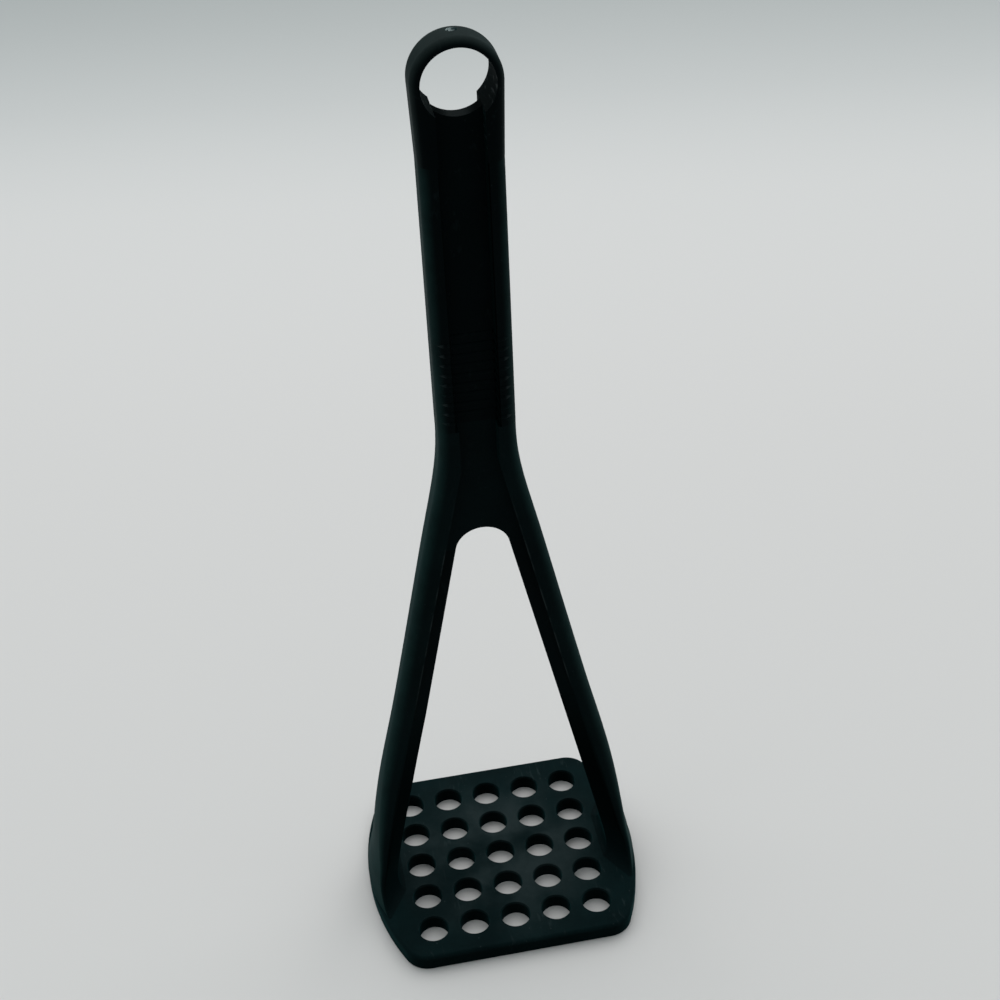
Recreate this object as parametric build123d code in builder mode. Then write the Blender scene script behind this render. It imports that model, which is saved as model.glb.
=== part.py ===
from build123d import *
from math import asin, atan2, cos, degrees, hypot, sin, sqrt, tan
import os

# Perforated plate, with the origin at the middle of its underside
plate_width = 86.1
plate_depth = 73.8
plate_thickness = 5.3
plate_side_radius = 74.0
plate_corner_radius = 8.0
plate_top_edge_radius = 1.1
plate_bottom_edge_radius = 0.4

# Square grid of round holes in the plate
hole_spacing = 13.0
hole_radius = 4.7
hole_rim_radius = 0.15
holes_per_row = 5

# Handle: two rails joined by a thin web, with an open channel in front of it and one behind
handle_width = 20.9
handle_depth = 12.2
handle_crown = 0.05
channel_width = 11.7
neck_channel_width = 10.4
web_thickness = 3.7
rail_edge_radius = 3.6
rail_inner_edge_radius = 0.4
web_edge_radius = 0.8

# Height where the handle starts, its length up to the ring, and the hole to hang it by
neck_top_height = 177.0
grip_length = 75.0
ring_rise = 19.1
ring_outer_radius = 11.1
ring_hole_radius = 8.95
ring_hole_offset = 0.4

# Gap between the arms: a round top below the neck, then straight sides that reach down to a known
# distance from the plate's side
neck_length = 36.0
gap_top_radius = 7.7
gap_foot_inset = 15.25
gap_foot_height = 40.0

# Recessed flange along the inner edge of each arm, and the spread of the arm's root on the plate
flange_width = 4.0
foot_flare = 5.0

# Low cross ribs over the front and the back of the handle, at the low end of the grip
rib_count = 9
rib_spacing = 2.95
rib_thickness = 1.2
rib_height = 0.2
rib_width = 18.8
rib_start_offset = 2.4

# Mark that the injection point leaves on top of the ring
gate_radius = 1.4
gate_height = 0.45
gate_root_depth = 1.0
gate_edge_radius = 0.3
gate_offset = 1.2

# How far a cutting shape runs past the face that it cuts
overrun = 2.0

# Cross-sections of an arm, from the plate up to the neck. The columns are: height as a share of the
# way from plate to neck, spread as a share of the way from the handle's side out to the plate's,
# half depth at the outer and at the inner side as shares of the handle's half depth, bow of the outer
# side beyond the plate's as a share of its half depth, rounding of the outer edges as a share of the
# rail's, and spread of the root as a share of the foot's flare.
arm_station_shares = [
    (0.0000, 1.0000, 3.280, 1.480, 0.075, 0.13, 0.60),
    (0.0052, 0.9958, 2.867, 1.221, 0.070, 0.13, 0.29),
    (0.0151, 0.9830, 2.523, 0.999, 0.068, 0.17, 0.12),
    (0.0320, 0.9669, 2.212, 0.818, 0.062, 0.24, 0.04),
    (0.0594, 0.9374, 1.947, 0.689, 0.070, 0.36, 0.01),
    (0.1013, 0.9048, 1.717, 0.606, 0.087, 0.56, 0.00),
    (0.1607, 0.8631, 1.510, 0.560, 0.123, 0.78, 0.00),
    (0.2359, 0.7969, 1.332, 0.537, 0.142, 0.96, 0.00),
    (0.3203, 0.7032, 1.193, 0.539, 0.134, 1.07, 0.00),
    (0.4077, 0.5975, 1.091, 0.591, 0.106, 1.11, 0.00),
    (0.5067, 0.4842, 1.018, 0.692, 0.078, 1.10, 0.00),
    (0.6115, 0.3668, 0.969, 0.792, 0.061, 1.07, 0.00),
    (0.7164, 0.2508, 0.946, 0.861, 0.052, 1.04, 0.00),
    (0.8096, 0.1441, 0.948, 0.915, 0.044, 1.02, 0.00),
    (0.8900, 0.0524, 0.969, 0.961, 0.031, 1.01, 0.00),
    (0.9500, 0.0076, 0.985, 0.985, 0.016, 1.00, 0.00),
    (1.0000, 0.0000, 1.000, 1.000, 0.008, 1.00, 0.00),
]
flange_foot_index = 9

quarter_turn = 90
half_plate_width = plate_width / 2
half_plate_depth = plate_depth / 2
half_handle_width = handle_width / 2
half_handle_depth = handle_depth / 2
half_channel = channel_width / 2
half_neck_channel = neck_channel_width / 2
half_web = web_thickness / 2
ring_base_height = neck_top_height + grip_length
ring_centre_height = ring_base_height + ring_rise
ring_hole_height = ring_centre_height + ring_hole_offset
ring_top_height = ring_centre_height + ring_outer_radius

# The straight side of the gap touches its round top at the shoulder.
gap_top_centre = neck_top_height - neck_length - gap_top_radius
gap_fall = gap_top_centre - gap_foot_height
gap_half_foot = half_plate_width - gap_foot_inset
gap_lean = atan2(gap_half_foot, gap_fall) - asin(gap_top_radius / hypot(gap_half_foot, gap_fall))
gap_shoulder = gap_top_radius * cos(gap_lean)
gap_shoulder_height = gap_top_centre + gap_top_radius * sin(gap_lean)
flange_shoulder = gap_shoulder + flange_width
channel_shoulder_height = gap_shoulder_height + (flange_shoulder - half_neck_channel) / tan(gap_lean)


def gap_side(height):
    return gap_shoulder + (gap_shoulder_height - height) * tan(gap_lean)


def rail_section(height, outer, inner, outer_depth, inner_depth, bow, outer_round, inner_round):
    """Bowed outer side, narrower or equal inner side, all four edges rounded."""
    with BuildSketch(Plane.XY.offset(height)) as section:
        with BuildLine():
            side = ThreePointArc((outer - bow, -outer_depth), (outer, 0), (outer - bow, outer_depth))
            Polyline(side @ 1, (inner, inner_depth), (inner, -inner_depth), side @ 0)
        make_face()
        fillet(section.vertices().group_by(Axis.X)[-1], outer_round)
        fillet(section.vertices().group_by(Axis.X)[0], inner_round)
    return section.sketch


def station_height(row):
    return plate_thickness + (neck_top_height - plate_thickness) * arm_station_shares[row][0]


def arm_section(row):
    height = station_height(row)
    spread, outer_share, inner_share, bow_share, round_share, flare_share = arm_station_shares[row][1:]
    outer = half_handle_width + (half_plate_width - half_handle_width) * spread
    outer_depth = half_handle_depth * outer_share
    plate_bow = plate_side_radius - sqrt(plate_side_radius ** 2 - outer_depth ** 2)
    return rail_section(
        height,
        outer,
        gap_side(height) - foot_flare * flare_share,
        outer_depth,
        half_handle_depth * inner_share,
        plate_bow * spread + outer_depth * bow_share,
        rail_edge_radius * round_share,
        web_edge_radius,
    )


arm_rows = range(len(arm_station_shares))
arm_sections = [arm_section(row) for row in arm_rows]
flange_foot_height = station_height(flange_foot_index)
flange_foot_box = arm_sections[flange_foot_index].bounding_box()

# Right arm: the wide root on the plate narrows into a rail. Its foot sits in the plate's rounded
# upper edge, and above the flange's foot the rail keeps clear of the web and the flange.
with BuildPart() as right_arm:
    add(loft(arm_sections))
    extrude(arm_sections[0], amount=-plate_top_edge_radius)
    with BuildSketch(Plane.XZ) as web_room:
        with BuildLine():
            Polyline(
                (-half_plate_width, neck_top_height + overrun),
                (half_neck_channel, neck_top_height + overrun),
                (half_neck_channel, channel_shoulder_height),
                (gap_side(flange_foot_height) + flange_width, flange_foot_height),
                (-half_plate_width, flange_foot_height),
                close=True,
            )
        make_face()
    extrude(amount=half_plate_depth, both=True, mode=Mode.SUBTRACT)
right_arm.part.label = "right_arm"

with BuildPart() as left_arm:
    add(mirror(right_arm.part, about=Plane.YZ))
left_arm.part.label = "left_arm"

# Plate: straight front and back, sides bowed outwards, rounded corners and edges
plate_corner = half_plate_width - plate_side_radius + sqrt(plate_side_radius ** 2 - half_plate_depth ** 2)
with BuildPart() as mashing_plate:
    with BuildSketch() as plate_outline:
        with BuildLine():
            front = Line((-plate_corner, -half_plate_depth), (plate_corner, -half_plate_depth))
            right = ThreePointArc(front @ 1, (half_plate_width, 0), (plate_corner, half_plate_depth))
            back = Line(right @ 1, (-plate_corner, half_plate_depth))
            ThreePointArc(back @ 1, (-half_plate_width, 0), front @ 0)
        make_face()
        fillet(plate_outline.vertices(), plate_corner_radius)
    extrude(amount=plate_thickness)
    fillet(mashing_plate.edges().group_by(Axis.Z)[-1], plate_top_edge_radius)
    fillet(mashing_plate.edges().group_by(Axis.Z)[0], plate_bottom_edge_radius)
    with Locations((0, 0, plate_thickness)):
        with GridLocations(hole_spacing, hole_spacing, holes_per_row, holes_per_row):
            Hole(hole_radius)
    top_rims = mashing_plate.faces().sort_by(Axis.Z)[-1].inner_wires().edges()
    fillet(top_rims, hole_rim_radius)
    add(right_arm.part, mode=Mode.SUBTRACT)
    add(left_arm.part, mode=Mode.SUBTRACT)
mashing_plate.part.label = "mashing_plate"

# Flange of the right arm: flush with the arm at its foot, as thin as the web at the gap's shoulder
flange_root_share = flange_width / (flange_foot_box.max.X - flange_foot_box.min.X)


def flange_section(height, inner_depth, root_depth):
    with BuildSketch(Plane.XY.offset(height)) as section:
        inner = gap_side(height)
        root = inner + flange_width
        with BuildLine():
            Polyline(
                (inner, -inner_depth),
                (root, -root_depth),
                (root, root_depth),
                (inner, inner_depth),
                close=True,
            )
        make_face()
        fillet(section.vertices().group_by(Axis.X)[0], web_edge_radius)
    return section.sketch


foot_shares = arm_station_shares[flange_foot_index]
foot_inner_depth = half_handle_depth * foot_shares[3]
foot_outer_depth = half_handle_depth * foot_shares[2]
foot_root_depth = foot_inner_depth + (foot_outer_depth - foot_inner_depth) * flange_root_share
with BuildPart() as right_arm_flange:
    foot = flange_section(flange_foot_height, foot_inner_depth, foot_root_depth)
    shoulder = flange_section(gap_shoulder_height, half_web, half_web)
    add(loft([foot, shoulder], ruled=True))
right_arm_flange.part.label = "right_arm_flange"

with BuildPart() as left_arm_flange:
    add(mirror(right_arm_flange.part, about=Plane.YZ))
left_arm_flange.part.label = "left_arm_flange"

# Web of the neck, between the two arms and over the round top of the gap
with BuildPart() as neck_web:
    with BuildSketch(Plane.XZ):
        with BuildLine():
            Polyline(
                (-half_neck_channel, neck_top_height),
                (half_neck_channel, neck_top_height),
                (half_neck_channel, channel_shoulder_height),
                (flange_shoulder, gap_shoulder_height),
                (-flange_shoulder, gap_shoulder_height),
                (-half_neck_channel, channel_shoulder_height),
                close=True,
            )
        make_face()
        with Locations((0, gap_top_centre)):
            Circle(gap_top_radius, mode=Mode.SUBTRACT)
    extrude(amount=half_web, both=True)
    fillet(neck_web.edges().filter_by(GeomType.CIRCLE), web_edge_radius)
neck_web.part.label = "neck_web"

# Rails of the handle
with BuildPart() as right_handle_rail:
    rail = rail_section(
        neck_top_height,
        half_handle_width,
        half_channel,
        half_handle_depth,
        half_handle_depth,
        handle_crown,
        rail_edge_radius,
        rail_inner_edge_radius,
    )
    extrude(rail, amount=ring_base_height - neck_top_height)
right_handle_rail.part.label = "right_handle_rail"

with BuildPart() as left_handle_rail:
    add(mirror(right_handle_rail.part, about=Plane.YZ))
left_handle_rail.part.label = "left_handle_rail"

# Web of the handle, from the neck up to the hole that it is cut by
with BuildPart() as handle_web:
    with BuildSketch(Plane.XZ):
        with BuildLine():
            Polyline(
                (-half_channel, neck_top_height),
                (half_channel, neck_top_height),
                (half_channel, ring_hole_height),
                (-half_channel, ring_hole_height),
                close=True,
            )
        make_face()
        with Locations((0, ring_hole_height)):
            Circle(ring_hole_radius, mode=Mode.SUBTRACT)
    extrude(amount=half_web, both=True)
handle_web.part.label = "handle_web"

# Ring: its two legs carry on the rails and spread until they touch its round top, and the channels
# run out into its hole
ring_reach = asin(ring_outer_radius / hypot(half_handle_width, ring_rise))
ring_lean = degrees(ring_reach - atan2(half_handle_width, ring_rise))
crown_sweep = 2 * (quarter_turn + ring_lean)
with BuildPart() as hanging_ring:
    with BuildSketch(Plane.XZ):
        with BuildLine():
            crown = CenterArc((0, ring_centre_height), ring_outer_radius, -ring_lean, crown_sweep)
            left_leg = Line(crown @ 1, (-half_handle_width, ring_base_height))
            base = Line(left_leg @ 1, (half_handle_width, ring_base_height))
            Line(base @ 1, crown @ 0)
        make_face()
    extrude(amount=half_handle_depth, both=True)
    for side in (hanging_ring.faces().sort_by(Axis.Y)[0], hanging_ring.faces().sort_by(Axis.Y)[-1]):
        fillet(side.edges().filter_by(Axis.X, reverse=True), rail_edge_radius)
    with BuildSketch(Plane.XZ):
        with Locations((0, ring_hole_height)):
            Circle(ring_hole_radius)
            Rectangle(
                channel_width,
                ring_hole_height - ring_base_height + overrun,
                align=(Align.CENTER, Align.MAX),
            )
    extrude(amount=handle_depth, both=True, mode=Mode.SUBTRACT)
hanging_ring.part.label = "hanging_ring"

# Cross ribs: each lies like a band on the web, the channel's walls and the rails, and runs out on the
# rails' rounded outer edges
rib_planes = [
    Plane.XY.offset(neck_top_height + rib_start_offset + rib_spacing * index) for index in range(rib_count)
]
rib_front = half_handle_depth + rib_height
round_across = half_handle_width - rail_edge_radius
round_front = rib_front - rail_edge_radius
rib_wrap = degrees(asin((rib_width / 2 - round_across) / rail_edge_radius))
with BuildPart() as front_grip_ribs:
    with BuildSketch(*rib_planes):
        with BuildLine():
            right_end = CenterArc((round_across, -round_front), rail_edge_radius, -quarter_turn, rib_wrap)
            left_end = CenterArc((-round_across, -round_front), rail_edge_radius, -quarter_turn, -rib_wrap)
            Polyline(right_end @ 1, (round_across, 0), (-round_across, 0), left_end @ 1)
            Polyline(
                left_end @ 0,
                (rib_height - half_channel, -rib_front),
                (rib_height - half_channel, -half_web - rib_height),
                (half_channel - rib_height, -half_web - rib_height),
                (half_channel - rib_height, -rib_front),
                right_end @ 0,
            )
        make_face()
    extrude(amount=rib_thickness)
    add(left_handle_rail.part, mode=Mode.SUBTRACT)
    add(right_handle_rail.part, mode=Mode.SUBTRACT)
    add(handle_web.part, mode=Mode.SUBTRACT)
front_grip_ribs.part.label = "front_grip_ribs"

with BuildPart() as back_grip_ribs:
    add(mirror(front_grip_ribs.part, about=Plane.XZ))
back_grip_ribs.part.label = "back_grip_ribs"

# Gate mark: a low nub that follows the ring's round top
with BuildPart() as gate_mark:
    with BuildSketch(Plane.XY.offset(ring_top_height - gate_root_depth)):
        with Locations((0, gate_offset)):
            Circle(gate_radius)
    extrude(amount=gate_root_depth + gate_height)
    fillet(gate_mark.edges().group_by(Axis.Z)[-1], gate_edge_radius)
    with BuildSketch(Plane.XZ):
        with Locations((0, ring_centre_height)):
            Circle(ring_outer_radius)
    extrude(amount=half_handle_depth, both=True, mode=Mode.SUBTRACT)
gate_mark.part.label = "gate_mark"

os.makedirs("parts", exist_ok=True)
pieces = [
    mashing_plate,
    left_arm,
    right_arm,
    left_arm_flange,
    right_arm_flange,
    neck_web,
    left_handle_rail,
    right_handle_rail,
    handle_web,
    front_grip_ribs,
    back_grip_ribs,
    hanging_ring,
    gate_mark,
]
for piece in pieces:
    export_step(piece.part, f"parts/{piece.part.label}.step")
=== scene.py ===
import bmesh
import bpy
import math
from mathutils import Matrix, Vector, noise


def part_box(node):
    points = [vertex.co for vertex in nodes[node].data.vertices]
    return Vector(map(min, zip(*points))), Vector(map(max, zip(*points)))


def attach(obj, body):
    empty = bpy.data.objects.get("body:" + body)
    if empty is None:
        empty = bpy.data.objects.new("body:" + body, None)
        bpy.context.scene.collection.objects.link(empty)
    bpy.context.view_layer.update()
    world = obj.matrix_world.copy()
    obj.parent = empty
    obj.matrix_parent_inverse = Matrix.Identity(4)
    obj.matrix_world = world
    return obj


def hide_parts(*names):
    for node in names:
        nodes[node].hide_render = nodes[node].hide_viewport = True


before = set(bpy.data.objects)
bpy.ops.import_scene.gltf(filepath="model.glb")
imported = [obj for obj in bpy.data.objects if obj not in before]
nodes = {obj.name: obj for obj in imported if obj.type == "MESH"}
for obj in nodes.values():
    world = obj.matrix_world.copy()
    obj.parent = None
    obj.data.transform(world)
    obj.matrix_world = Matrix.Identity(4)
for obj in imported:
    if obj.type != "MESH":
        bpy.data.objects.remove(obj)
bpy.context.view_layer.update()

# Mashing plate: the flat head with its square grid of round holes, which presses the food.
# Black nylon with a cold green tint, moulded in one shot with the rest of the masher.
# Its top is satin, with a pale bloom, rub marks, specks of dust and worn hole rims, and a patchy paler
# middle that is painted sheen; its hole walls and sides carry painted shade.
hole_pitch = 0.013
hole_radius = 0.0047
outer_hole_row = 2 * hole_pitch
plate_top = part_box("mashing_plate")[1][2]


def reckon(tree, operation, *values, clamp=False):
    """A Math node on sockets or plain numbers; gives its result."""
    sum_node = tree.nodes.new("ShaderNodeMath")
    sum_node.operation = operation
    sum_node.use_clamp = clamp
    for socket, value in zip(sum_node.inputs, values):
        if isinstance(value, bpy.types.NodeSocket):
            tree.links.new(value, socket)
        else:
            socket.default_value = value
    return sum_node.outputs["Value"]


def reckon_vector(tree, operation, *values):
    """A Vector Math node on sockets or plain triples; gives its result."""
    sum_node = tree.nodes.new("ShaderNodeVectorMath")
    sum_node.operation = operation
    for socket, value in zip(sum_node.inputs, values):
        if isinstance(value, bpy.types.NodeSocket):
            tree.links.new(value, socket)
        else:
            socket.default_value = value
    return sum_node.outputs["Value" if operation in ("LENGTH", "DOT_PRODUCT") else "Vector"]


def fade(tree, value, start, end):
    """A mask that runs from 0 where the value is at start to 1 where it is at end."""
    ramp = tree.nodes.new("ShaderNodeMapRange")
    ramp.interpolation_type = "SMOOTHSTEP"
    tree.links.new(value, ramp.inputs["Value"])
    ramp.inputs["From Min"].default_value = start
    ramp.inputs["From Max"].default_value = end
    return ramp.outputs["Result"]


def cloud(tree, place, scale, detail, roughness=0.5, distortion=0.0):
    """Soft noise over the piece."""
    puff = tree.nodes.new("ShaderNodeTexNoise")
    tree.links.new(place, puff.inputs["Vector"])
    puff.inputs["Scale"].default_value = scale
    puff.inputs["Detail"].default_value = detail
    puff.inputs["Roughness"].default_value = roughness
    puff.inputs["Distortion"].default_value = distortion
    return puff.outputs["Fac"]


def blend_colours(tree, share, first, second):
    """Two colours mixed by a mask."""
    mixer = tree.nodes.new("ShaderNodeMix")
    mixer.data_type = "RGBA"
    tree.links.new(share, mixer.inputs["Factor"])
    for socket, colour in ((mixer.inputs[6], first), (mixer.inputs[7], second)):
        tree.links.new(colour, socket)
    return mixer.outputs[2]


def make_moulded_skin():
    """Colour, roughness and bump height of moulded nylon, from its bloom, marks, dust and wear, and from
    painted sheen, painted highlights and painted shade.
    """
    skin = bpy.data.node_groups.new("moulded skin", "ShaderNodeTree")
    for name, kind, value in (
        ("Base", "NodeSocketColor", (0.0008, 0.0022, 0.0026, 1.0)),
        ("Bloom", "NodeSocketColor", (0.0045, 0.0140, 0.0150, 1.0)),
        ("Painted Sheen", "NodeSocketColor", (0.0060, 0.0185, 0.0180, 1.0)),
        ("Wear And Glint", "NodeSocketColor", (0.0190, 0.0250, 0.0260, 1.0)),
        ("Bloom Amount", "NodeSocketFloat", 0.5),
        ("Mark Amount", "NodeSocketFloat", 0.3),
        ("Dust Amount", "NodeSocketFloat", 0.4),
        ("Painted Sheen Mask", "NodeSocketFloat", 0.0),
        ("Wear And Glint Mask", "NodeSocketFloat", 0.0),
        ("Painted Shade Mask", "NodeSocketFloat", 0.0),
        ("Roughness", "NodeSocketFloat", 0.5),
    ):
        skin.interface.new_socket(name, in_out="INPUT", socket_type=kind).default_value = value
    for name, kind in (
        ("Color", "NodeSocketColor"),
        ("Roughness", "NodeSocketFloat"),
        ("Height", "NodeSocketFloat"),
    ):
        skin.interface.new_socket(name, in_out="OUTPUT", socket_type=kind)
    given = skin.nodes.new("NodeGroupInput").outputs
    made = skin.nodes.new("NodeGroupOutput").inputs
    place = skin.nodes.new("ShaderNodeTexCoord").outputs["Object"]

    # slow clouds of bloom, the pale film that nylon gets
    film = fade(skin, cloud(skin, place, 55.0, 5.0, 0.62), 0.30, 0.74)
    film = reckon(skin, "MULTIPLY_ADD", film, 0.55, 0.45)
    film = reckon(skin, "MULTIPLY", film, given["Bloom Amount"])

    # short rub marks that run all ways
    turn = skin.nodes.new("ShaderNodeMapping")
    skin.links.new(place, turn.inputs["Vector"])
    turn.inputs["Scale"].default_value = (2.6, 0.55, 1.3)
    turn.inputs["Rotation"].default_value = (0.0, 0.35, 0.6)
    marks = fade(skin, cloud(skin, turn.outputs["Vector"], 260.0, 3.0, 0.5, 0.9), 0.55, 0.72)
    patches = fade(skin, cloud(skin, place, 95.0, 2.0), 0.45, 0.62)
    marks = reckon(skin, "MULTIPLY", reckon(skin, "MULTIPLY", marks, patches), given["Mark Amount"])

    # dust specks, a fraction of a millimetre across, in one cell out of many
    specks = skin.nodes.new("ShaderNodeTexVoronoi")
    skin.links.new(place, specks.inputs["Vector"])
    specks.inputs["Scale"].default_value = 620.0
    cell = skin.nodes.new("ShaderNodeSeparateColor")
    skin.links.new(specks.outputs["Color"], cell.inputs["Color"])
    chosen = reckon(skin, "GREATER_THAN", cell.outputs["Red"], 0.93)
    dust = reckon(skin, "MULTIPLY", fade(skin, specks.outputs["Distance"], 0.22, 0.05), chosen)
    dust = reckon(skin, "MULTIPLY", dust, given["Dust Amount"])

    veil = reckon(skin, "MAXIMUM", reckon(skin, "MAXIMUM", film, marks), dust, clamp=True)
    clouded = blend_colours(skin, veil, given["Base"], given["Bloom"])
    # painted sheen: a patchy paler teal laid on the faces that the mask marks as catching grazing light
    uneven = reckon(skin, "MULTIPLY_ADD", cloud(skin, place, 110.0, 4.0, 0.65), 1.8, 0.05)
    painted_sheen = reckon(skin, "MULTIPLY", given["Painted Sheen Mask"], uneven, clamp=True)
    painted_sheen = blend_colours(skin, painted_sheen, clouded, given["Painted Sheen"])
    pale_dust = reckon(skin, "MULTIPLY", dust, 0.80)
    scuffs = reckon(skin, "MAXIMUM", pale_dust, reckon(skin, "MULTIPLY", marks, 0.35))
    # worn marks, dust and scuffs lift the colour to a pale grey, and so do the painted highlights given in
    # the same mask
    wear_and_glint = reckon(skin, "MAXIMUM", given["Wear And Glint Mask"], scuffs, clamp=True)
    wear_and_glint = blend_colours(skin, wear_and_glint, painted_sheen, given["Wear And Glint"])
    # painted shade: the colour is scaled towards black where the mask marks faces in shade
    open_to_light = reckon(skin, "SUBTRACT", 1.0, given["Painted Shade Mask"], clamp=True)
    shade = skin.nodes.new("ShaderNodeVectorMath")
    shade.operation = "SCALE"
    skin.links.new(wear_and_glint, shade.inputs[0])
    skin.links.new(open_to_light, shade.inputs["Scale"])
    skin.links.new(shade.outputs["Vector"], made["Color"])

    rougher = reckon(skin, "MULTIPLY_ADD", veil, 0.20, given["Roughness"])
    rougher = reckon(skin, "MULTIPLY_ADD", given["Painted Shade Mask"], 0.35, rougher)
    smoother = reckon(skin, "MULTIPLY_ADD", given["Wear And Glint Mask"], -0.12, rougher, clamp=True)
    skin.links.new(smoother, made["Roughness"])

    # grain of the mould's face, with the rub marks a little below it
    grain = cloud(skin, place, 2900.0, 2.0)
    skin.links.new(reckon(skin, "MULTIPLY_ADD", marks, -0.35, grain), made["Height"])
    return skin


moulded_skin = make_moulded_skin()


def nylon(name, bloom, marks, dust, roughness, sheen, masks=None, colours=()):
    """The masher's black nylon, with its own amounts of each mark and its own places of wear, painted
    sheen and painted shade.
    """
    material = bpy.data.materials.new(name)
    material.use_nodes = True
    tree = material.node_tree
    shader = tree.nodes["Principled BSDF"]
    shader.inputs["IOR"].default_value = 1.5
    shader.inputs["Specular IOR Level"].default_value = 0.012
    shader.inputs["Sheen Weight"].default_value = sheen
    shader.inputs["Sheen Roughness"].default_value = 0.45
    shader.inputs["Sheen Tint"].default_value = (0.20, 0.90, 0.95, 1.0)
    skin = tree.nodes.new("ShaderNodeGroup")
    skin.node_tree = moulded_skin
    for socket, amount in (("Bloom Amount", bloom), ("Mark Amount", marks), ("Dust Amount", dust)):
        skin.inputs[socket].default_value = amount
    skin.inputs["Roughness"].default_value = roughness
    for socket, colour in colours:
        skin.inputs[socket].default_value = colour
    if masks:
        place = tree.nodes.new("ShaderNodeTexCoord").outputs["Object"]
        for socket, mask in masks(tree, place).items():
            tree.links.new(mask, skin.inputs[socket])
    relief = tree.nodes.new("ShaderNodeBump")
    relief.inputs["Strength"].default_value = 0.45
    relief.inputs["Distance"].default_value = 0.00006
    tree.links.new(skin.outputs["Color"], shader.inputs["Base Color"])
    tree.links.new(skin.outputs["Roughness"], shader.inputs["Roughness"])
    tree.links.new(skin.outputs["Height"], relief.inputs["Height"])
    tree.links.new(relief.outputs["Normal"], shader.inputs["Normal"])
    return material


def dress(node_names, material):
    """Gives each named piece of the frame the material."""
    for name in node_names:
        mesh = nodes[name].data
        if not mesh.materials:
            mesh.materials.append(material)
        for index in range(len(mesh.materials)):
            mesh.materials[index] = material


def plate_masks(tree, place):
    """Worn hole rims, a patchy paler middle of painted sheen, and painted shade on the hole walls and
    sides.
    """
    flat = reckon_vector(tree, "MULTIPLY", place, (1.0, 1.0, 0.0))
    moved = reckon_vector(tree, "ADD", flat, (hole_pitch / 2, hole_pitch / 2, 0.0))
    nearest = reckon_vector(tree, "SNAP", moved, (hole_pitch, hole_pitch, 1.0))
    nearest = reckon_vector(tree, "MINIMUM", nearest, (outer_hole_row, outer_hole_row, 0.0))
    nearest = reckon_vector(tree, "MAXIMUM", nearest, (-outer_hole_row, -outer_hole_row, 0.0))
    from_centre = reckon_vector(tree, "LENGTH", reckon_vector(tree, "SUBTRACT", flat, nearest))
    off_rim = reckon(tree, "ABSOLUTE", reckon(tree, "SUBTRACT", from_centre, hole_radius))
    rim = fade(tree, off_rim, 0.0006, 0.0001)
    rim = reckon(tree, "MULTIPLY", rim, fade(tree, cloud(tree, place, 240.0, 2.0), 0.40, 0.68))
    # painted sheen: paler patches towards the middle of the top
    inward = fade(tree, reckon_vector(tree, "LENGTH", flat), 0.042, 0.012)
    patches = fade(tree, cloud(tree, place, 70.0, 3.0), 0.30, 0.70)
    way = tree.nodes.new("ShaderNodeSeparateXYZ")
    tree.links.new(place, way.inputs["Vector"])
    # painted shade on the hole walls and the sides, below the top
    below = fade(tree, way.outputs["Z"], plate_top - 0.0005, plate_top - 0.0014)
    return {
        "Wear And Glint Mask": reckon(tree, "MULTIPLY", rim, 0.18),
        "Painted Sheen Mask": reckon(tree, "MULTIPLY", reckon(tree, "MULTIPLY", inward, patches), 0.90),
        "Painted Shade Mask": reckon(tree, "MULTIPLY", below, 0.75),
    }


plate_painted_sheen = ("Painted Sheen", (0.0170, 0.0245, 0.0255, 1.0))
dress(
    ["mashing_plate"],
    nylon("plate nylon", 0.70, 1.15, 1.0, 0.55, 0.05, plate_masks, [plate_painted_sheen]),
)

# Arms: two splayed legs that carry the plate, wide at the foot and rounded outside, each with a thin
# recessed flange along its inner side. The same nylon, moulded together with the plate.
# Their outer sides carry a painted sheen and their inner sides painted shade, and the edge where a rail
# stands proud of its flange carries a fine painted highlight.
flange_width = 0.004
neck_channel_half = 0.0052
flange_low, flange_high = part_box("right_arm_flange")
ring_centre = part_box("hanging_ring")[1][2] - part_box("hanging_ring")[1][0]
step_fall = (flange_high[0] - flange_width - flange_low[0]) / (flange_high[2] - flange_low[2])


def outwardness(tree, place):
    """How much a face points away from the masher's middle line, or up from the ring's centre."""
    from_centre = reckon_vector(tree, "SUBTRACT", place, (0.0, 0.0, ring_centre))
    over = reckon_vector(tree, "MAXIMUM", from_centre, (-1.0, -1.0, 0.0))
    away = reckon_vector(tree, "NORMALIZE", reckon_vector(tree, "MULTIPLY", over, (1.0, 0.0, 1.0)))
    facing = tree.nodes.new("ShaderNodeNewGeometry").outputs["Normal"]
    return reckon_vector(tree, "DOT_PRODUCT", away, facing)


def side_masks(tree, place):
    """Outer sides with a painted sheen, and inner sides with painted shade."""
    outward = outwardness(tree, place)
    return {
        "Painted Sheen Mask": fade(tree, outward, 0.20, 1.0),
        "Painted Shade Mask": fade(tree, outward, -0.15, -0.55),
    }


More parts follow.
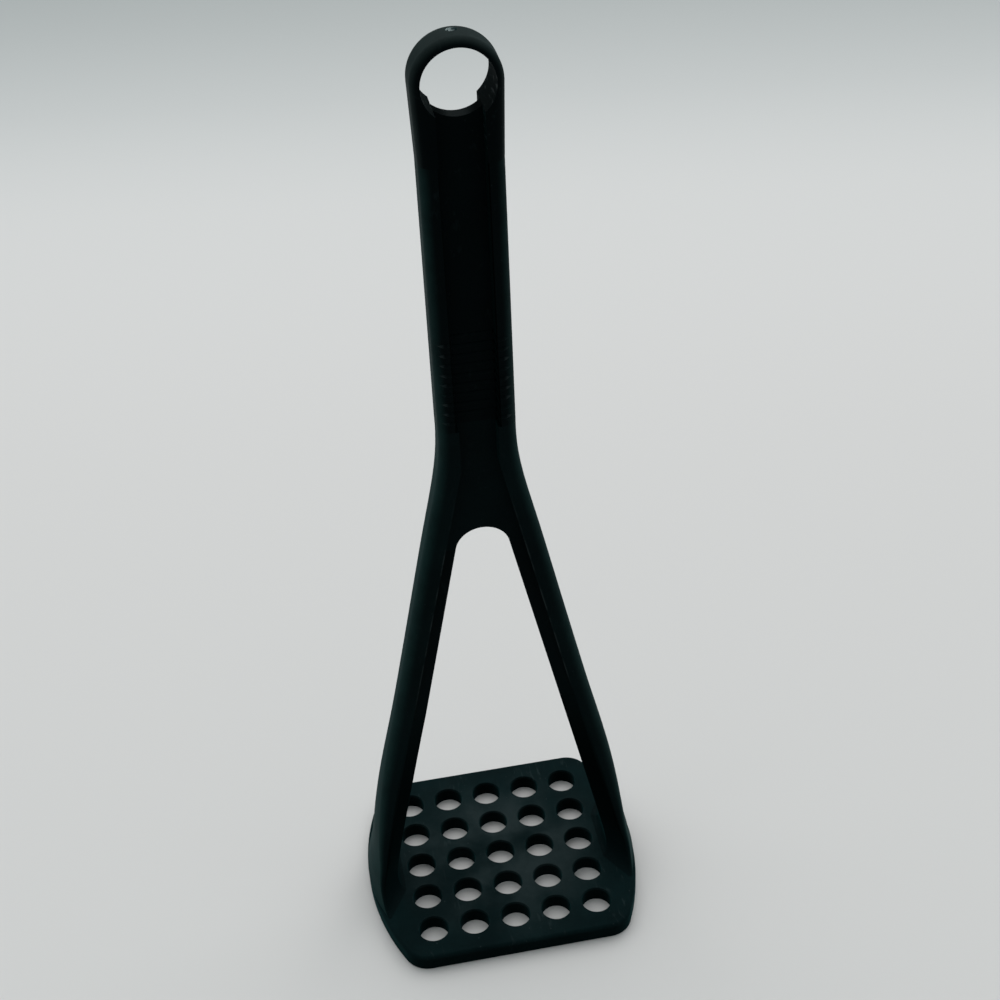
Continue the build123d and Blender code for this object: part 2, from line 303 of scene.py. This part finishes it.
def arm_masks(tree, place):
    """The painted sheen and shade of the sides, with a fine painted highlight along the front edge of each
    rail's inner side.
    """
    way = tree.nodes.new("ShaderNodeSeparateXYZ")
    tree.links.new(place, way.inputs["Vector"])
    across = reckon(tree, "ABSOLUTE", way.outputs["X"])
    rise = reckon(tree, "SUBTRACT", way.outputs["Z"], flange_low[2])
    edge = reckon(tree, "MULTIPLY_ADD", rise, -step_fall, flange_high[0])
    edge = reckon(tree, "MAXIMUM", edge, neck_channel_half)
    off_edge = reckon(tree, "ABSOLUTE", reckon(tree, "SUBTRACT", across, edge))
    # painted highlight: a thin pale line along the step, on faces turned to front or back, broken by noise
    line = fade(tree, off_edge, 0.00055, 0.0002)
    line = reckon(tree, "MULTIPLY", line, fade(tree, rise, 0.0, 0.012))
    line = reckon(tree, "MULTIPLY", line, fade(tree, rise, 0.085, 0.055))
    facing = tree.nodes.new("ShaderNodeSeparateXYZ")
    tree.links.new(tree.nodes.new("ShaderNodeNewGeometry").outputs["Normal"], facing.inputs["Vector"])
    level = fade(tree, reckon(tree, "ABSOLUTE", facing.outputs["Y"]), 0.3, 0.6)
    uneven = fade(tree, cloud(tree, place, 160.0, 3.0), 0.34, 0.62)
    line = reckon(tree, "MULTIPLY", reckon(tree, "MULTIPLY", line, level), uneven)
    masks = side_masks(tree, place)
    # the painted shade of the inner sides stops near the foot
    above_foot = fade(tree, way.outputs["Z"], plate_top, plate_top + 0.016)
    masks["Painted Shade Mask"] = reckon(tree, "MULTIPLY", masks["Painted Shade Mask"], above_foot)
    masks["Wear And Glint Mask"] = reckon(tree, "MULTIPLY", line, 0.8)
    return masks


dress(["left_arm", "right_arm"], nylon("arm nylon", 0.36, 0.30, 0.40, 0.52, 0.02, arm_masks))
# The flanges' nylon has less bloom than the arms', so it is darker: painted shade of the recess.
dress(["left_arm_flange", "right_arm_flange"], nylon("flange nylon", 0.12, 0.20, 0.30, 0.55, 0.02))

# Neck web: the thin wall between the two arms, over the round top of the gap.
# The same nylon, in one piece with the flanges below it and the handle's web above it.
dress(["neck_web"], nylon("neck nylon", 0.32, 0.30, 0.40, 0.52, 0.02))

# Handle: two round-backed rails with the web between them, open as a channel in front and behind.
# The same nylon, a little smoother, with less bloom than the arms, so it is darker: painted shade of the
# channel. Its outer sides carry a painted sheen and its inner sides painted shade.
dress(
    ["left_handle_rail", "right_handle_rail", "handle_web"],
    nylon("handle nylon", 0.12, 0.25, 0.30, 0.52, 0.01, side_masks),
)

# Grip ribs: nine low soft ribs across the front and the back of the handle, to stop the thumb.
# They are cut into the mould, so they are the handle's own nylon, and they run out on the rails'
# rounded outer edges.
rib_count = 9
rib_thickness = 0.0012
rail_edge_radius = 0.0036
rail_inner_edge_radius = 0.0004
inner_edge_steps = 6
outer_edge_steps = 12
rib_low, rib_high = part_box("front_grip_ribs")
rail_low, rail_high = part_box("right_handle_rail")
web_low, web_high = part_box("handle_web")
rib_height = rail_low[1] - rib_low[1]
rib_spacing = (rib_high[2] - rib_low[2] - rib_thickness) / (rib_count - 1)
round_across = rail_high[0] - rail_edge_radius
rib_wrap = math.asin((rib_high[0] - round_across) / rail_edge_radius)


def handle_outline(name, side):
    """A line across one side of the handle, from one rounded outer edge to the other."""
    channel, web, front = web_high[0], web_high[1], rail_high[1]
    half = [(0.0, web), (channel - rail_inner_edge_radius, web), (channel, web + rail_inner_edge_radius)]
    for step in range(inner_edge_steps + 1):
        angle = math.pi - math.pi / 2 * step / inner_edge_steps
        half.append((
            channel + rail_inner_edge_radius + rail_inner_edge_radius * math.cos(angle),
            front - rail_inner_edge_radius + rail_inner_edge_radius * math.sin(angle),
        ))
    for step in range(outer_edge_steps + 1):
        angle = math.pi / 2 - rib_wrap * step / outer_edge_steps
        half.append((
            round_across + rail_edge_radius * math.cos(angle),
            front - rail_edge_radius + rail_edge_radius * math.sin(angle),
        ))
    line = [(-x, y) for x, y in reversed(half[1:])] + half
    mesh = bpy.data.meshes.new(name)
    mesh.from_pydata(
        [(x, side * y, 0.0) for x, y in line],
        [(index, index + 1) for index in range(len(line) - 1)],
        [],
    )
    outline = bpy.data.objects.new(name, mesh)
    bpy.context.scene.collection.objects.link(outline)
    return outline


def make_rib_tree():
    """One soft rib swept along the outline, with ends that run out, repeated up the grip."""
    tree = bpy.data.node_groups.new("grip ribs", "GeometryNodeTree")
    sockets = tree.interface
    sockets.new_socket("Outline", in_out="INPUT", socket_type="NodeSocketGeometry")
    sockets.new_socket("Rib Count", in_out="INPUT", socket_type="NodeSocketInt")
    for name in ("Rib Spacing", "Rib Thickness", "Rib Height", "First Rib", "Run Out"):
        sockets.new_socket(name, in_out="INPUT", socket_type="NodeSocketFloat")
    sockets.new_socket("Finish", in_out="INPUT", socket_type="NodeSocketMaterial")
    sockets.new_socket("Ribs", in_out="OUTPUT", socket_type="NodeSocketGeometry")
    join = tree.links.new
    given = tree.nodes.new("NodeGroupInput").outputs

    path = tree.nodes.new("GeometryNodeMeshToCurve")
    join(given["Outline"], path.inputs["Mesh"])
    even = tree.nodes.new("GeometryNodeResampleCurve")
    join(path.outputs["Curve"], even.inputs["Curve"])
    even.inputs["Count"].default_value = 150
    upright = tree.nodes.new("GeometryNodeSetCurveNormal")
    upright.mode = "Z_UP"
    join(even.outputs["Curve"], upright.inputs["Curve"])

    along = tree.nodes.new("GeometryNodeSplineParameter").outputs["Factor"]
    to_end = reckon(tree, "SUBTRACT", 1.0, along)
    to_end = reckon(tree, "MINIMUM", along, to_end)
    swell = tree.nodes.new("ShaderNodeMapRange")
    swell.interpolation_type = "SMOOTHSTEP"
    join(to_end, swell.inputs["Value"])
    join(given["Run Out"], swell.inputs["From Max"])
    swell.inputs["To Min"].default_value = 0.04

    ring = tree.nodes.new("GeometryNodeCurvePrimitiveCircle")
    ring.inputs["Resolution"].default_value = 14
    ring.inputs["Radius"].default_value = 1.0
    size = tree.nodes.new("ShaderNodeCombineXYZ")
    join(given["Rib Height"], size.inputs["X"])
    join(reckon(tree, "DIVIDE", given["Rib Thickness"], 2.0), size.inputs["Y"])
    size.inputs["Z"].default_value = 1.0
    section = tree.nodes.new("GeometryNodeTransform")
    join(ring.outputs["Curve"], section.inputs["Geometry"])
    join(size.outputs["Vector"], section.inputs["Scale"])
    sweep = tree.nodes.new("GeometryNodeCurveToMesh")
    join(upright.outputs["Curve"], sweep.inputs["Curve"])
    join(section.outputs["Geometry"], sweep.inputs["Profile Curve"])
    sweep.inputs["Fill Caps"].default_value = True
    join(swell.outputs["Result"], sweep.inputs["Scale"])

    start = tree.nodes.new("ShaderNodeCombineXYZ")
    join(given["First Rib"], start.inputs["Z"])
    pitch = tree.nodes.new("ShaderNodeCombineXYZ")
    join(given["Rib Spacing"], pitch.inputs["Z"])
    ladder = tree.nodes.new("GeometryNodeMeshLine")
    join(given["Rib Count"], ladder.inputs["Count"])
    join(start.outputs["Vector"], ladder.inputs["Start Location"])
    join(pitch.outputs["Vector"], ladder.inputs["Offset"])
    placed = tree.nodes.new("GeometryNodeInstanceOnPoints")
    join(ladder.outputs["Mesh"], placed.inputs["Points"])
    join(sweep.outputs["Mesh"], placed.inputs["Instance"])
    solid = tree.nodes.new("GeometryNodeRealizeInstances")
    join(placed.outputs["Instances"], solid.inputs["Geometry"])
    finish = tree.nodes.new("GeometryNodeSetMaterial")
    join(solid.outputs["Geometry"], finish.inputs["Geometry"])
    join(given["Finish"], finish.inputs["Material"])
    join(finish.outputs["Geometry"], tree.nodes.new("NodeGroupOutput").inputs["Ribs"])
    return tree


def rib_masks(tree, place):
    """The painted sheen and shade as on the rails, with the ribs' ends lit to pale dots, a painted
    highlight.
    """
    masks = side_masks(tree, place)
    way = tree.nodes.new("ShaderNodeSeparateXYZ")
    tree.links.new(place, way.inputs["Vector"])
    across = reckon(tree, "ABSOLUTE", way.outputs["X"])
    # painted highlight on the ribs' ends, where they run onto the rails' rounding
    rib_end_glints = fade(tree, across, round_across + 0.0004, round_across + 0.0016)
    uneven = fade(tree, cloud(tree, place, 330.0, 2.0), 0.38, 0.60)
    masks["Wear And Glint Mask"] = reckon(tree, "MULTIPLY", reckon(tree, "MULTIPLY", rib_end_glints, uneven), 0.75)
    return masks


rib_tree = make_rib_tree()
rib_nylon = nylon("rib nylon", 0.12, 0.30, 0.35, 0.52, 0.01, rib_masks)
for rib_name, node_name, side in (
    ("front_ribs", "front_grip_ribs", -1),
    ("back_ribs", "back_grip_ribs", 1),
):
    ribs = handle_outline(rib_name, side)
    maker = ribs.modifiers.new("ribs", "NODES")
    maker.node_group = rib_tree
    wanted = {
        "Rib Count": rib_count,
        "Rib Spacing": rib_spacing,
        "Rib Thickness": rib_thickness,
        "Rib Height": rib_height,
        "First Rib": rib_low[2] + rib_thickness / 2,
        "Run Out": 0.09,
        "Finish": rib_nylon,
    }
    for item in rib_tree.interface.items_tree:
        if item.in_out == "INPUT" and item.name in wanted:
            maker[item.identifier] = wanted[item.name]
    made = ribs.evaluated_get(bpy.context.evaluated_depsgraph_get())
    ribs_mesh = bpy.data.meshes.new_from_object(made)
    ribs.modifiers.remove(maker)
    shape = bmesh.new()
    shape.from_mesh(ribs_mesh)
    bmesh.ops.recalc_face_normals(shape, faces=shape.faces)
    for face in shape.faces:
        face.smooth = True
    shape.to_mesh(ribs_mesh)
    shape.free()
    ribs.data = ribs_mesh
    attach(ribs, "root")
    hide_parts(node_name)


# Hanging ring: the rails carry on round a hole, to hang the masher on a hook.
# The same nylon, with a painted highlight over its crown and painted shade inside its hole.
def crown_masks(tree, place):
    """A painted highlight on the crown where it faces straight out, and painted shade inside the hole,
    broken by fine scratches of the hook.
    """
    masks = side_masks(tree, place)
    # painted highlight over the crown's outward faces
    crown = fade(tree, outwardness(tree, place), 0.62, 0.96)
    masks["Painted Sheen Mask"] = reckon(tree, "MULTIPLY", crown, 0.72)
    drawn = reckon_vector(tree, "MULTIPLY", place, (1.0, 0.16, 0.5))
    scratches = fade(tree, cloud(tree, drawn, 1500.0, 2.0), 0.56, 0.70)
    inside = reckon(tree, "MULTIPLY", scratches, masks["Painted Shade Mask"])
    masks["Wear And Glint Mask"] = reckon(tree, "MULTIPLY", inside, 0.5)
    unscratched = reckon(tree, "MULTIPLY_ADD", scratches, -0.7, 0.7)
    masks["Painted Shade Mask"] = reckon(tree, "MULTIPLY", masks["Painted Shade Mask"], unscratched)
    return masks


crown_painted_highlight = ("Painted Sheen", (0.0120, 0.0190, 0.0185, 1.0))
dress(["hanging_ring"], nylon("ring nylon", 0.05, 0.35, 0.35, 0.50, 0.01, crown_masks, [crown_painted_highlight]))

# Gate mark: the scar on top of the ring where the nylon flowed into the mould and was snapped off.
# A low torn nub, rough, with whitened flecks where the plastic stretched before it broke.
gate_low, gate_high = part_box("gate_mark")
ring_low, ring_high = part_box("hanging_ring")
crown_radius = ring_high[0]
gate_radius = (gate_high[0] - gate_low[0]) / 2
gate_depth_place = (gate_high[1] + gate_low[1]) / 2
gate_height = gate_high[2] - ring_high[2]
gate_root = 0.0003
gate_rings = 9
gate_spokes = 36


def scar_height(share, across, along):
    """Height of the torn nub over the ring's top: a low dome, ragged, with one taller sliver."""
    ragged = noise.noise(Vector((across * 1900.0, along * 1900.0, 3.7)))
    sliver = math.exp(-((across + 0.0004) ** 2 + (along + 0.0001) ** 2) / (2 * 0.00028 ** 2))
    dome = (1.0 - share ** 3) * (0.42 + 0.16 * ragged)
    return gate_height * min(1.0, dome + 0.45 * sliver * (1.0 + 0.4 * ragged))


scar = bmesh.new()
loops = []
for ring_index in range(1, gate_rings + 2):
    share = min(1.0, ring_index / gate_rings)
    below = gate_root if ring_index > gate_rings else 0.0
    loop = []
    for spoke in range(gate_spokes):
        angle = 2 * math.pi * spoke / gate_spokes
        reach = gate_radius * share * (0.95 + 0.05 * math.sin(3 * angle + 0.8) * share)
        across = reach * math.cos(angle)
        along = reach * math.sin(angle) * 0.8
        crown = ring_centre + math.sqrt(crown_radius ** 2 - across ** 2)
        height = crown + scar_height(share, across, along) - below
        loop.append(scar.verts.new((across, gate_depth_place + along, height)))
    loops.append(loop)
middle = scar.verts.new((0.0, gate_depth_place, ring_high[2] + scar_height(0.0, 0.0, 0.0)))
for spoke in range(gate_spokes):
    following = (spoke + 1) % gate_spokes
    scar.faces.new((middle, loops[0][spoke], loops[0][following]))
    for inner, outer in zip(loops, loops[1:]):
        scar.faces.new((inner[spoke], outer[spoke], outer[following], inner[following]))
scar.faces.new(list(reversed(loops[-1])))
bmesh.ops.recalc_face_normals(scar, faces=scar.faces)
for face in scar.faces:
    face.smooth = True
scar_mesh = bpy.data.meshes.new("gate_scar")
scar.to_mesh(scar_mesh)
scar.free()
gate_scar = bpy.data.objects.new("gate_scar", scar_mesh)
bpy.context.scene.collection.objects.link(gate_scar)


def torn_masks(tree, place):
    """Whitened flecks of stretched plastic."""
    flecks = fade(tree, cloud(tree, place, 1300.0, 3.0, 0.6), 0.42, 0.56)
    way = tree.nodes.new("ShaderNodeSeparateXYZ")
    tree.links.new(place, way.inputs["Vector"])
    return {"Wear And Glint Mask": reckon(tree, "MULTIPLY", flecks, fade(tree, way.outputs["X"], 0.0011, -0.0006))}


torn_white = ("Wear And Glint", (0.24, 0.27, 0.27, 1.0))
scar_mesh.materials.append(nylon("torn nylon", 0.80, 0.60, 0.50, 0.62, 0.05, torn_masks, [torn_white]))
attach(gate_scar, "root")
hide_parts("gate_mark")

# Floor: one wide sheet of pale paper that the masher stands on, laid flat and not fixed.
# It is painted light: the paper is brightest a little behind the masher, falls off to painted shade far
# behind it, and is slightly darker on the right.
floor_half_width = 30.0
floor_mesh = bpy.data.meshes.new("floor")
floor_mesh.from_pydata(
    [(x * floor_half_width, y * floor_half_width, 0) for x, y in ((-1, -1), (1, -1), (1, 1), (-1, 1))],
    [],
    [(0, 1, 2, 3)],
)
floor = bpy.data.objects.new("floor", floor_mesh)
bpy.context.scene.collection.objects.link(floor)
paper = bpy.data.materials.new("pale paper")
paper.use_nodes = True
paper_tree = paper.node_tree
paper_shader = paper_tree.nodes["Principled BSDF"]
paper_place = paper_tree.nodes.new("ShaderNodeTexCoord").outputs["Object"]
paper_way = paper_tree.nodes.new("ShaderNodeSeparateXYZ")
paper_tree.links.new(paper_place, paper_way.inputs["Vector"])
paper_depth = paper_tree.nodes.new("ShaderNodeMapRange")
paper_slant = reckon(paper_tree, "MULTIPLY_ADD", paper_way.outputs["X"], 0.16, paper_way.outputs["Y"])
paper_tree.links.new(paper_slant, paper_depth.inputs["Value"])
paper_depth.inputs["From Min"].default_value = -0.22
paper_depth.inputs["From Max"].default_value = 0.98
paper_painted_light = paper_tree.nodes.new("ShaderNodeValToRGB")
paper_tree.links.new(paper_depth.outputs["Result"], paper_painted_light.inputs["Fac"])
paper_painted_light.color_ramp.interpolation = "B_SPLINE"
paper_painted_light.color_ramp.elements[0].color = (0.665, 0.625, 0.615, 1.0)
paper_painted_light.color_ramp.elements[1].color = (0.355, 0.36, 0.358, 1.0)
for share, colour in (
    (0.38, (0.668, 0.622, 0.614, 1.0)),
    (0.58, (0.680, 0.642, 0.635, 1.0)),
    (0.70, (0.550, 0.535, 0.532, 1.0)),
    (0.85, (0.405, 0.405, 0.403, 1.0)),
):
    paper_painted_light.color_ramp.elements.new(share).color = colour
paper_tree.links.new(paper_painted_light.outputs["Color"], paper_shader.inputs["Base Color"])
paper_shader.inputs["Roughness"].default_value = 0.9
paper_shader.inputs["Specular IOR Level"].default_value = 0.1
floor_mesh.materials.append(paper)

# Light: a soft room with pale walls, brighter overhead and behind the masher than in front of it,
# and one broad panel above and behind.
world = bpy.data.worlds.new("soft room")
bpy.context.scene.world = world
world.use_nodes = True
sky_tree = world.node_tree
room = sky_tree.nodes["Background"]
sky_way = sky_tree.nodes.new("ShaderNodeSeparateXYZ")
sky_tree.links.new(sky_tree.nodes.new("ShaderNodeTexCoord").outputs["Generated"], sky_way.inputs["Vector"])
behind = reckon(sky_tree, "MULTIPLY_ADD", sky_way.outputs["Y"], 0.42, 0.07)
brightness = reckon(sky_tree, "MULTIPLY_ADD", sky_way.outputs["Z"], 0.46, behind)
ray = sky_tree.nodes.new("ShaderNodeLightPath").outputs
seen = reckon(sky_tree, "MAXIMUM", ray["Is Camera Ray"], ray["Is Glossy Ray"])
seen = reckon(sky_tree, "MAXIMUM", seen, ray["Is Transmission Ray"])
pale_wall = reckon(sky_tree, "MULTIPLY", seen, 0.25)
brightness = reckon(sky_tree, "MAXIMUM", brightness, pale_wall, clamp=True)
sky = sky_tree.nodes.new("ShaderNodeMix")
sky.data_type = "RGBA"
sky_tree.links.new(brightness, sky.inputs["Factor"])
sky.inputs[6].default_value = (0.06, 0.075, 0.077, 1.0)
sky.inputs[7].default_value = (1.08, 1.20, 1.21, 1.0)
sky_tree.links.new(sky.outputs[2], room.inputs["Color"])
room.inputs["Strength"].default_value = 1.55

panel = bpy.data.lights.new("soft panel", "AREA")
panel.shape = "RECTANGLE"
panel.size = 1.6
panel.size_y = 1.3
panel.energy = 8.5
panel_stand = bpy.data.objects.new("soft panel", panel)
bpy.context.scene.collection.objects.link(panel_stand)
panel_stand.location = (0.15, 0.8, 1.4)
panel_stand.rotation_euler = (-panel_stand.location).to_track_quat("-Z", "Y").to_euler()

# Camera: above and in front of the masher, a little to its left.
# It looks down, so that the plate's holes show below the handle.
camera_data = bpy.data.cameras.new("view")
camera_data.lens = 59.683
camera_data.sensor_width = 36.0
camera = bpy.data.objects.new("view", camera_data)
bpy.context.scene.collection.objects.link(camera)
camera.location = (-0.050585, -0.356962, 0.424077)
camera.rotation_euler = (0.918635, 0.039408, -0.186336)
bpy.context.scene.camera = camera
bpy.context.scene.view_settings.view_transform = "Standard"
